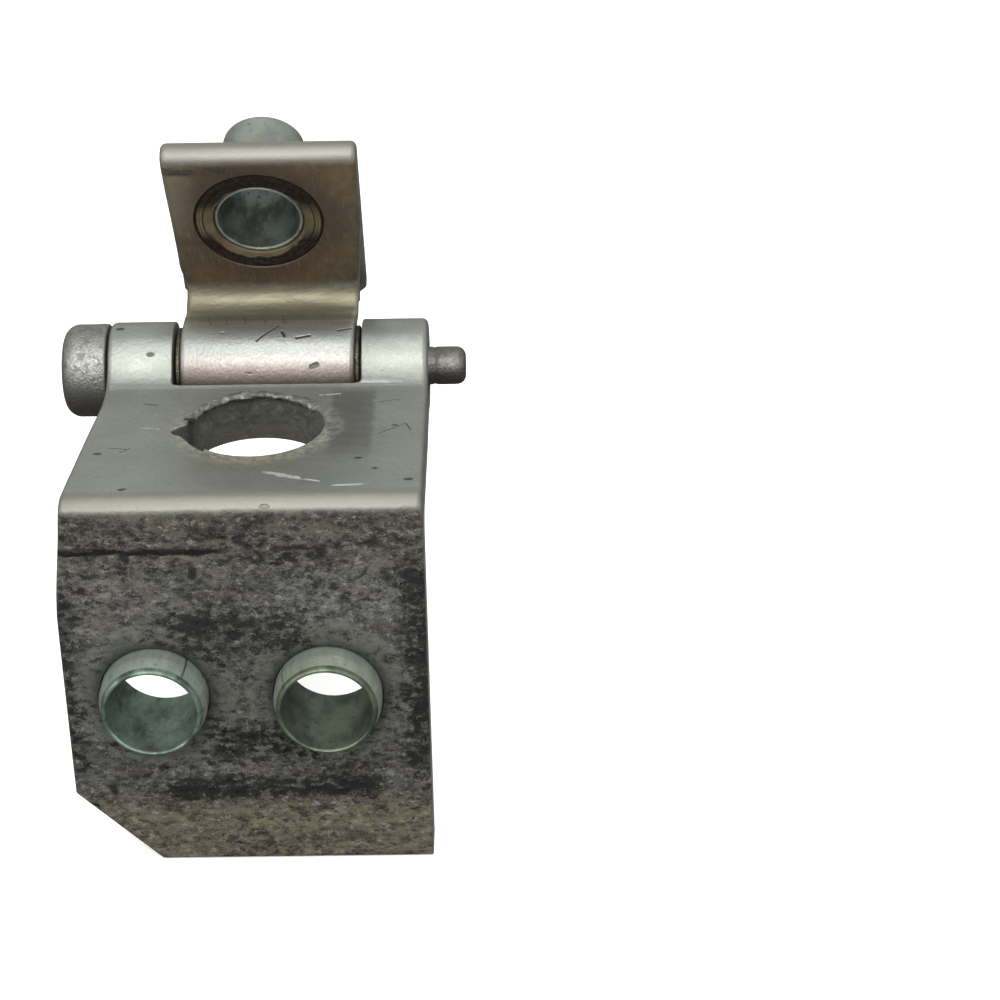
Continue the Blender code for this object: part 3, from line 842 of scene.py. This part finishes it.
def connect(colour, roughness, metallic=None):
    """Feeds the shader."""
    for name, value in (("Base Color", colour), ("Roughness", roughness), ("Metallic", metallic)):
        if value is not None:
            now["tree"].links.new(value, now["shader"].inputs[name])


# %% [markdown]
# ## Bracket finish
# The strip is hot rolled steel under a zinc-flake coat, which is sprayed on and baked: silver grey, finely
# grainy and dull, mostly metal. The coat is whole on the flat and the knuckles. Bolted against the body, the
# plate has lost it: there the steel is brown and black with old oxide, mottled and pitted, with a clean ring
# pressed round each sleeve. So the coat is the base, and the plate's layers lie over it where y is near
# nothing.

# %% Bracket finish
bracket_coat, _, x, y, z = start_finish("worn_zinc_flake_bracket", 0.85)

# the coat itself
grain = patches(0.45, 0.3, 0.7, detail=3)
cloud = patches(6.0, 0.35, 0.7, shift=3)
smudge = patches(11.0, 0.42, 0.66, (1.6, 1, 1), shift=9)
fleck = patches(0.5, 0.62, 0.7, shift=41, detail=2)
pits = marks(1.6, 0.035, (1.6, 1, 1))

# the bare plate: grey scale with dark pores and pale crystals
plate = zone((y, 1.6, 0.35), (z, 31.2, 29.6))
mottle = patches(2.0, 0.4, 0.6, (1.8, 1, 1), shift=5, detail=9, rough=0.85)
speck = patches(1.0, 0.5, 0.58, (1.6, 1, 1), shift=71, detail=8, rough=0.85)
pale = patches(5.0, 0.45, 0.66, (2.2, 1, 1), shift=33, detail=8, rough=0.78)
pores = patches(0.8, 0.56, 0.64, (1.6, 1, 1), shift=21, detail=6, rough=0.75)
crystals = patches(0.9, 0.52, 0.62, (1.6, 1, 1), shift=31, detail=8, rough=0.85)
pale_right = zone((x, 2.0, 9.0), (x, 26.0, 20.0), (z, 10.0, 14.0), (z, 24.0, 20.0))
pale_left = zone((x, -26.0, -23.0), (x, -6.0, -14.0), (z, 7.0, 12.0), (z, 24.0, 20.0))
pale_low = zone((x, -8.0, -2.0), (x, 24.0, 17.0), (z, -20.5, -18.5), (z, -13.0, -15.5))

# where oil has blackened it
torn = patches(1.1, 0.38, 0.62, (1.5, 1, 1), shift=14, detail=10, rough=0.85)
blots = patches(6.0, 0.34, 0.68, (2.0, 1, 0.9), shift=52, detail=6, rough=0.7)
between_up = zone((z, 5.0, 9.0), (z, 16.0, 12.5), (x, -14.0, -6.0), (x, 13.0, 6.5))
between_low = zone((z, -13.0, -10.0), (z, -3.0, -6.5), (x, -9.0, -3.0), (x, 15.0, 9.0))
low_row = zone((z, -19.4, -17.4), (z, -13.8, -16.0), (x, -16.0, -9.0), (x, 24.0, 17.0))
right_edge = zone((x, 21.8, 26.5), (z, -24.0, -8.0), (z, 29.0, 18.0))
left_edge = zone((x, -22.0, -26.0), (z, -16.0, -8.0), (z, 24.0, 10.0))
top_left = zone((x, 4.0, -12.0), (z, 23.5, 26.0), (z, 30.0, 28.0))
mid_top = zone((x, -2.0, 3.0), (x, 22.0, 14.0), (z, 21.0, 23.5), (z, 27.5, 25.0))
soiled = most(between_up, between_low, low_row, times(right_edge, 1.1), times(left_edge, 0.8),
              times(top_left, 0.55), times(mid_top, 0.75))
level = maths("MULTIPLY_ADD", soiled, 0.42, times(blots, 0.34))
level = maths("MULTIPLY_ADD", torn, 0.8, level)
black = zone((level, 0.82, 0.88))
soot = zone((level, 0.4, 0.95))

# bands down the plate
low_zone = zone((z, -16.0, -21.5))
top_zone = zone((z, 19.0, 24.0))
under_bend = zone((z, 26.0, 29.5))
streaks = patches(1.6, 0.42, 0.62, (9, 1, 0.6), shift=2, detail=7, rough=0.7)
rust = patches(4.0, 0.5, 0.68, (1.5, 1, 1), shift=27, detail=7, rough=0.7)

# rings where the sleeves were pressed in, and a darker band right next to each sleeve
mirrored = maths("ABSOLUTE", x)
from_sleeve = maths("SUBTRACT", mirrored, -sleeve_x[0])
ring_place = spot_at(from_sleeve, z)
ring_far = vectors("LENGTH", ring_place)
wobble = maths("MULTIPLY_ADD", patches(3.0, 0.2, 0.8, shift=8, detail=8, rough=0.7), 1.9, ring_far)
halo = zone((wobble, 13.8, 12.8))
halo_rim = zone((wobble, 11.8, 12.4), (wobble, 13.4, 12.9))
halo_dark = zone((ring_far, 9.9, 8.3))

# a lap crack, drips and a row of rust dots
ragged = patches(1.8, 0.2, 0.8, (2, 1, 1), shift=17, detail=8, rough=0.75)
crack_z = maths("MULTIPLY_ADD", ragged, 1.3, z)
crack = zone((crack_z, 24.3, 24.7), (crack_z, 25.7, 25.2), (x, 1.0, -3.0), (x, -26.5, -25.0))
drips = scratches(
    x, crack_z, ((-15.6, 24.6), (-15.4, 23.9), 1.0), ((-5.8, 21.9), (-5.9, 20.9), 0.9),
    ((12.6, 25.2), (12.8, 24.4), 0.8), ((-20.4, -15.6), (-20.2, -16.4), 0.9),
)
dots_x = maths("PINGPONG", x, 2.6)
dots = times(zone((dots_x, 1.6, 2.1), (crack_z, -26.7, -26.1), (crack_z, -24.6, -25.1), (x, -15.0, -13.0)),
             patches(1.3, 0.42, 0.56, shift=6, detail=8, rough=0.8))

# round the hole and along the bend
hole_spot = spot_at(x, y)
hole_far = vectors("DISTANCE", hole_spot, (hole_x, hole_y, 0))
on_top = zone((z, 31.4, 32.2))
scum = patches(1.2, 0.44, 0.58, shift=12, detail=8, rough=0.75)
dirt_ring = times(zone((hole_far, 14.5, 11.0), (y, 33.0, 22.0)), scum, on_top, 0.8)
dirt_front = times(zone((x, -9.0, -4.0), (x, 10.0, 6.0), (y, 8.5, 10.5), (y, 15.0, 13.0)), scum, on_top)
inside_hole = zone((hole_far, 11.0, 10.5), (z, 32.6, 31.9))
broken = zone((x, -4.0, -6.5), (hole_far, 14.5, 13.5), (y, 16.0, 17.5), (y, 28.5, 27.0), (z, 32.55, 32.2))
ragged_x = maths("MULTIPLY_ADD", ragged, 1.2, x)
patch_zone = zone((ragged_x, 13.0, 14.5), (ragged_x, 20.8, 19.6), (y, 10.0, 19.0), (y, 36.5, 34.0))
dark_patch = times(patch_zone, on_top, 0.75)
tired = times(zone((x, -12.0, -4.0), (x, 16.0, 9.0), (y, 1.0, 5.0), (y, 19.0, 14.0)), on_top, 0.45)
# the front bend: the coat is worn there, and its colour is also darkened as painted shade, which dims the
# bend's highlight
bend_wear_and_shade = zone((y, 3.8, 2.0), (z, 30.2, 31.6))
side_grime = zone((z, 29.0, 26.0), (y, 0.5, 1.6))
bright_scrapes = times(scratches(
    x, y, ((4.6, 8.6), (9.5, 6.9), 0.55), ((6.5, 7.4), (12.6, 5.6), 0.3), ((14.8, 4.2), (19.5, 4.4), 0.35),
    ((-15.2, 23.4), (-12.4, 23.0), 0.16), ((11.2, 33.8), (14.2, 34.2), 0.25),
), on_top, patches(0.9, 0.35, 0.55, (2, 1, 1), shift=61))
dark_scrapes = times(scratches(
    x, y, ((20.6, 20.5), (24.6, 23.8), 0.16), ((24.6, 23.8), (25.4, 21.6), 0.16),
    ((20.2, 31.2), (23.4, 32.2), 0.18), ((-15.4, 31.6), (-13.6, 31.2), 0.28),
    ((-19.0, 17.0), (-16.6, 16.5), 0.2), ((-17.2, 15.6), (-15.9, 16.8), 0.16),
), on_top)

colour = layered("#868a83", [
    (cloud, 0.35, "#989a93"), (smudge, 0.35, "#777970"), (grain, 0.32, "#777a74"), (fleck, 0.2, "#b4b7b1"),
    (tired, "#72736b"), (dark_patch, "#646661"), (dirt_front, 0.8, "#77745f"), (dirt_ring, 0.85, "#6d6953"),
    (inside_hole, 0.9, "#5d5e54"), (inside_hole, mottle, 0.8, "#3c3c34"),
    (inside_hole, crystals, 0.4, "#85867c"), (broken, 0.9, "#3b3c38"), (pits, "#4a4a45"),
    (bend_wear_and_shade, 0.8, "#706e64"), (bright_scrapes, "#bfc1bb"), (dark_scrapes, "#565751"),
    (side_grime, 0.7, "#5a5750"), (plate, "#605f5a"), (pale, plate, 0.75, "#84817b"),
    (pale_right, plate, 0.4, "#8b8b87"), (pale_left, plate, 0.35, "#8a8680"),
    (pale_low, plate, 0.35, "#71746f"), (mottle, plate, 0.8, "#44433f"), (rust, plate, 0.4, "#574638"),
    (top_zone, plate, 0.55, "#655f53"), (under_bend, plate, 0.5, "#564c40"), (low_zone, plate, 0.8, "#71694f"),
    (streaks, plate, low_zone, 0.6, "#453d30"), (rust, plate, low_zone, 0.5, "#4c3624"),
    (pores, plate, 0.7, "#2b2926"), (speck, plate, 0.85, "#20201e"), (crystals, plate, 0.65, "#aeada8"),
    (halo, plate, 0.6, "#63665f"), (halo_rim, plate, 0.25, "#83867d"), (halo_dark, plate, 0.75, "#34352f"),
    (soot, plate, 0.5, "#2b2a27"), (black, plate, 0.98, "#090909"), (crack, plate, "#0d0b0a"),
    (drips, plate, 0.9, "#18171a"), (dots, plate, 0.65, "#221a14"),
])
roughness = layered(0.42, [
    (grain, 0.5, 0.52), (smudge, 0.6, 0.52), (dirt_ring, 0.8), (inside_hole, 0.65), (bend_wear_and_shade, 0.55),
    (side_grime, 0.7), (broken, 0.7), (plate, 0.6), (pale, plate, 0.8, 0.5), (halo, plate, 0.7, 0.5),
    (pores, plate, 0.75), (low_zone, plate, 0.7, 0.66), (black, plate, 0.5),
], "FLOAT")
metallic = layered(0.85, [
    (dirt_ring, 0.2), (inside_hole, 0.4), (side_grime, 0.4), (plate, 0.45), (low_zone, plate, 0.25),
    (black, plate, 0.1), (crystals, plate, 0.8),
], "FLOAT")
relief(
    (grain, 0.014), (cloud, 0.05), (pits, -0.08), (mottle, plate, -0.12), (pale, plate, 0.08),
    (pores, plate, -0.08), (torn, plate, -0.12), (crystals, plate, 0.04), (crack, plate, -0.25),
    (dirt_ring, 0.06), (bright_scrapes, -0.05), (dark_scrapes, -0.06), (halo, plate, -0.05),
    (broken, ragged, 0.4), (inside_hole, ragged, 0.5), (inside_hole, mottle, -0.15),
)
connect(colour, roughness, metallic)
print("bracket finish:", len(now["tree"].nodes), "nodes")

# %% [markdown]
# ## Leaf finish
# The leaf has the same coat, but oil and dust from the door edge have baked on its face as a brown film,
# thickest round the collar. The knuckle is rubbed bright. Masks for the leaf are measured up from its foot
# and back from its face, so they lean with it.

# %% Leaf finish
leaf_coat, place, x, y, z = start_finish("grimy_zinc_flake_leaf", 0.85)
from_foot = vectors("SUBTRACT", place, foot)
up = vectors("DOT_PRODUCT", from_foot, leaf_up)
back = vectors("DOT_PRODUCT", from_foot, leaf_back)
flat_spot = spot_at(x, up)
hole_far = vectors("DISTANCE", flat_spot, (leaf_hole_x, leaf_hole_up, 0))

grain = patches(0.45, 0.3, 0.7, detail=3)
fleck = patches(0.5, 0.6, 0.7, shift=41, detail=2)
cloud = patches(5.0, 0.35, 0.7, shift=4)
pits = marks(1.3, 0.04, (1.7, 1, 1), shift=2)
on_roll = zone((z, foot.z + 0.3, foot.z + 0.1))
film = zone((back, 0.9, 0.3), (back, -1.6, -0.5), (up, 2.2, 5.0), (up, top_up - 0.7, top_up - 2.2))
film_cloud = patches(7.0, 0.35, 0.68, shift=11, detail=7)
film_fine = patches(1.5, 0.4, 0.64, shift=13, detail=6, rough=0.7)
near_hole = zone((hole_far, 16.0, 10.0))
thin_left = zone((x, -6.0, -11.0), (up, 12.0, 20.0))
smear_edge = patches(1.6, 0.36, 0.56, (3, 1, 1), shift=19, detail=7, rough=0.7)
smear_zone = zone(
    (up, top_up - 4.2, top_up - 3.2), (up, top_up - 1.6, top_up - 2.4), (x, 2.0, -3.0), (back, 2.0, 1.0)
)
smear = times(smear_zone, smear_edge)
neck = zone((z, foot.z - 0.4, foot.z + 0.2), (up, 4.5, 2.5), (back, 2.4, 1.8))
neck_dirt = times(zone((z, foot.z - 0.6, foot.z + 0.1), (up, 6.0, 3.0)),
                  patches(2.6, 0.4, 0.58, (3, 1, 1), shift=7, detail=7))
neck_line = times(zone((y, 50.6, 49.6), (y, 47.4, 48.4), (z, foot.z - 0.6, foot.z - 0.2)), 0.5)
# painted shade: the fold over the top of the leaf is coloured darker, which dims its highlight
shaded_top_band = zone((up, top_up - 2.2, top_up - 1.2))
# painted reflection: a pinkish band on the front of the fold, just below its highlight
pink_reflection_band = zone((up, top_up - 2.9, top_up - 2.1), (up, top_up - 0.9, top_up - 1.7), (back, 2.0, 1.2))
# painted shade: the lower front of the knuckle is coloured darker and pinkish
shaded_low_front = zone((z, 37.4, 34.0), (y, 43.0, 41.0))
behind = zone((back, 2.6, 4.2))
ticks = scratches(x, y, *[((tick, 46.6), (tick - 0.6, 49.6), 0.2) for tick in (-6.4, -3.8, -0.9, 2.2, 5.2)])
slash = segment(x, y, (1.0, 42.6), (4.4, 45.9), 0.24)
nicks = most(segment(x, y, (7.2, 43.0), (9.2, 43.4), 0.3), segment(x, y, (4.9, 44.3), (5.3, 43.4), 0.32),
             segment(x, z, (9.6, 34.6), (10.4, 34.9), 0.5), segment(x, y, (13.6, 44.4), (15.6, 44.9), 0.25))
hairs = patches(1.2, 0.55, 0.66, (0.25, 1, 6), shift=23, detail=3)

colour = layered("#8f918d", [
    (cloud, 0.35, "#a0a29e"), (grain, 0.35, "#7b7e79"), (fleck, 0.2, "#babdb8"), (shaded_low_front, 0.8, "#75685f"),
    (neck, 0.85, "#7d7762"), (neck_dirt, 0.4, "#605943"), (neck_line, "#57523f"), (shaded_top_band, "#7c7b73"),
    (pink_reflection_band, 0.8, "#857b74"), (film, 0.96, "#413626"), (film, film_cloud, 0.55, "#54482f"),
    (film, film_fine, 0.5, "#372c1d"), (film, near_hole, 0.7, "#33251a"), (film, thin_left, 0.35, "#6f685b"),
    (smear, 0.95, "#241d18"), (behind, 0.6, "#6a6457"), (pits, on_roll, "#55514b"),
    (film, hairs, 0.15, "#7b705c"), (ticks, on_roll, 0.6, "#565753"), (slash, on_roll, "#555551"),
    (nicks, on_roll, "#484642"),
])
roughness = layered(0.38, [
    (grain, 0.6, 0.5), (film, 0.9, 0.52), (film, film_cloud, 0.42), (shaded_top_band, 0.54), (neck, 0.55),
    (smear, 0.7), (neck_dirt, 0.5, 0.55), (behind, 0.6), (pits, on_roll, 0.7),
], "FLOAT")
metallic = layered(0.85, [(film, 0.9, 0.2), (smear, 0.1), (behind, 0.5)], "FLOAT")
relief(
    (grain, 0.014), (cloud, 0.04), (pits, on_roll, -0.09), (slash, on_roll, -0.08), (nicks, on_roll, -0.09),
    (smear, 0.04), (neck_dirt, 0.04), (ticks, on_roll, -0.05), (film, film_fine, 0.02),
)
connect(colour, roughness, metallic)
print("leaf finish:", len(now["tree"].nodes), "nodes")

# %% [markdown]
# ## Pin, bushes and burr
# The pin is bare cold-headed steel that has gone brown-grey, with a fine sandy surface. The bushes are
# sintered bronze, dark with oil. The burr is broken coat with dirt in it, so it is duller than what is round
# it.

# %% Pin, bush and burr finishes
pin_steel, _, x, _, z = start_finish("darkened_headed_steel", 0.95)
sand = patches(0.4, 0.35, 0.65, detail=4)
spots = patches(1.5, 0.52, 0.62, shift=5, detail=6)
# painted shade: the lower side of the pin is coloured darker and browner
lower = zone((z, pin_z + 2.0, pin_z - 5.0))
stub = zone((x, 27.0, 28.0))
colour = layered("#888985", [
    (sand, 0.5, "#696763"), (spots, 0.45, "#5b544c"), (lower, 0.7, "#574d43"), (stub, 0.6, "#544f4b"),
])
roughness = layered(0.42, [(sand, 0.52), (spots, 0.8, 0.6)], "FLOAT")
relief((sand, 0.03), (spots, -0.03))
connect(colour, roughness)

bush_bronze = start_finish("oiled_sintered_bronze", 0.9)[0]
pores = patches(0.25, 0.4, 0.6, detail=2)
stain = patches(2.0, 0.4, 0.65)
colour = layered("#5d5645", [(pores, "#3f3a2e"), (stain, 0.7, "#2d2a22")])
roughness = layered(0.5, [(pores, 0.65)], "FLOAT")
relief((pores, -0.01))
connect(colour, roughness)

burr_coat = start_finish("broken_zinc_flake_coat", 0.8)[0]
crumb = patches(0.6, 0.4, 0.62, detail=5)
stain = patches(1.8, 0.45, 0.6, shift=4)
colour = layered("#85867f", [(crumb, "#65665f"), (stain, 0.7, "#4d4b40")])
roughness = layered(0.55, [(crumb, 0.7)], "FLOAT")
relief((crumb, 0.08))
connect(colour, roughness)

# %% [markdown]
# ## Zinc plate
# The sleeves and the tube are thin rolled steel, plated with zinc and passivated, which leaves a pale
# green-blue sheen that is cloudy, with yellow where the passivation is thick and grey smears where it was
# handled. Inside the bore the colour is darker, as painted shade, so each finish also knows the axis of its
# piece and how wide the bore is.

# %% Zinc finishes
def zinc(name, base, bore_shade, dirt, centre, axis, bore):
    """Passivated zinc plate: outside it is base, and within bore of the axis it is a darker painted shade, with
    smears of dirt.
    """
    material, place, *_ = start_finish(name, 0.75)
    fine = patches(0.5, 0.35, 0.65, detail=3)
    wash = patches(4.0, 0.32, 0.7, shift=6, detail=4)
    yellow = patches(3.0, 0.5, 0.7, (1, 2, 1), shift=15)
    drawn = patches(1.0, 0.38, 0.62, (1, 9, 1), shift=2)
    smear = patches(3.2, 0.36, 0.66, (1, 2.2, 1), shift=22, detail=8, rough=0.62)
    fleck = patches(1.2, 0.58, 0.66, shift=35, detail=6, rough=0.7)
    away = vectors("SUBTRACT", place, centre)
    far = vectors("CROSS_PRODUCT", away, axis)
    far = vectors("LENGTH", far)
    # painted shade: within the bore the plate is coloured darker
    inside = zone((far, bore + 0.08, bore))
    colour = layered(base, [
        (wash, 0.4, "#a9b3a8"), (yellow, 0.4, "#a4a17c"), (drawn, 0.3, "#727b74"), (fine, 0.15, "#84908a"),
        (smear, 0.4, "#6c7570"), (inside, bore_shade), (inside, smear, 0.9, dirt), (inside, yellow, 0.35, "#66705a"),
        (fleck, 0.55, dirt),
    ])
    roughness = layered(0.38, [(wash, 0.46), (smear, 0.8, 0.52), (fleck, 0.6)], "FLOAT")
    relief((fine, 0.006), (drawn, 0.012), (smear, 0.015))
    connect(colour, roughness)
    return material


sleeve_bore, tube_bore = 7.46, 6.36
zinc_left, zinc_right = [
    zinc(name, base, bore_shade, dirt, (x, 0, 0), (0, 1, 0), sleeve_bore) for x, name, base, bore_shade, dirt in (
        (sleeve_x[0], "passivated_zinc_left", "#98a399", "#74897d", "#363e3a"),
        (sleeve_x[1], "passivated_zinc_right", "#99a192", "#606c59", "#394036"),
    )
]
zinc_tube = zinc("passivated_zinc_tube", "#767c77", "#6d7671", "#383b36", hole_face, leaf_back, tube_bore)

# %% [markdown]
# ## Collar
# The collar is a plain steel ring, turned and pressed in. A washer has kept a pale ring on it, and rust has
# grown dark above and below that ring. The washer sat a little low and to the left, so the rust is widest
# above.

# %% Collar finish
collar_steel, place, *_ = start_finish("rusty_turned_collar", 0.7)
from_hole = vectors("SUBTRACT", place, hole_face)
up = vectors("DOT_PRODUCT", from_hole, leaf_up)
across = put(now["tree"], "SeparateXYZ", {0: from_hole}).outputs[0]
spot = spot_at(across, up)
washer_far = vectors("DISTANCE", spot, (-0.25, -0.35, 0))
far = vectors("LENGTH", spot)
shaken = maths("MULTIPLY_ADD", patches(2.0, 0.3, 0.7), 0.5, washer_far)
above_below = zone((maths("ABSOLUTE", up), 1.5, 4.5))
rust = times(zone((shaken, 7.6, 8.0)), above_below)
outer_line = zone((far, 9.45, 9.6), (far, 9.95, 9.8))
groove = zone((far, 8.5, 8.6), (far, 8.8, 8.7))
rough_rust = patches(0.7, 0.4, 0.62, detail=7, rough=0.7)
colour = layered("#5f533f", [
    (patches(3.0, 0.4, 0.65, shift=3), 0.6, "#756a55"), (outer_line, 0.8, "#221b15"), (groove, 0.6, "#30271e"),
    (rust, "#1d1510"), (rust, rough_rust, 0.6, "#3c3028"),
])
roughness = layered(0.42, [(rust, 0.7)], "FLOAT")
relief((rust, rough_rust, 0.12), (rough_rust, 0.015), (groove, -0.05))
connect(colour, roughness)

# %% [markdown]
# ## Tying each piece to its body
# Each piece hides the imported node it replaces, if it has one, gets its finish, and moves with its body.
# The bracket's side stays still, and the leaf's side turns on the pin.

# %% Bodies, slots and finishes
for piece, node, body, slot_name, material in (
    (bracket, "bracket", "bracket_side", "grey_coat", bracket_coat),
    (burr, None, "bracket_side", "grey_coat", burr_coat),
    (packed, None, "bracket_side", "grey_coat", bracket_coat),
    (pin, "pin", "bracket_side", "pin_steel", pin_steel),
    (bushes["end"], "bush_end", "bracket_side", "bush_bronze", bush_bronze),
    (sleeves["left"], "sleeve_left", "bracket_side", "zinc", zinc_left),
    (sleeves["right"], "sleeve_right", "bracket_side", "zinc", zinc_right),
    (leaf, "leaf", "leaf_side", "grey_coat", leaf_coat),
    (bushes["left"], "bush_left", "leaf_side", "bush_bronze", bush_bronze),
    (bushes["right"], "bush_right", "leaf_side", "bush_bronze", bush_bronze),
    (collar, "leaf_collar", "leaf_side", "collar_steel", collar_steel),
    (tube, "leaf_tube", "leaf_side", "zinc", zinc_tube),
):
    piece.data.materials.clear()
    piece.data.materials.append(material)
    if node:
        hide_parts(node)
    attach(piece, body)
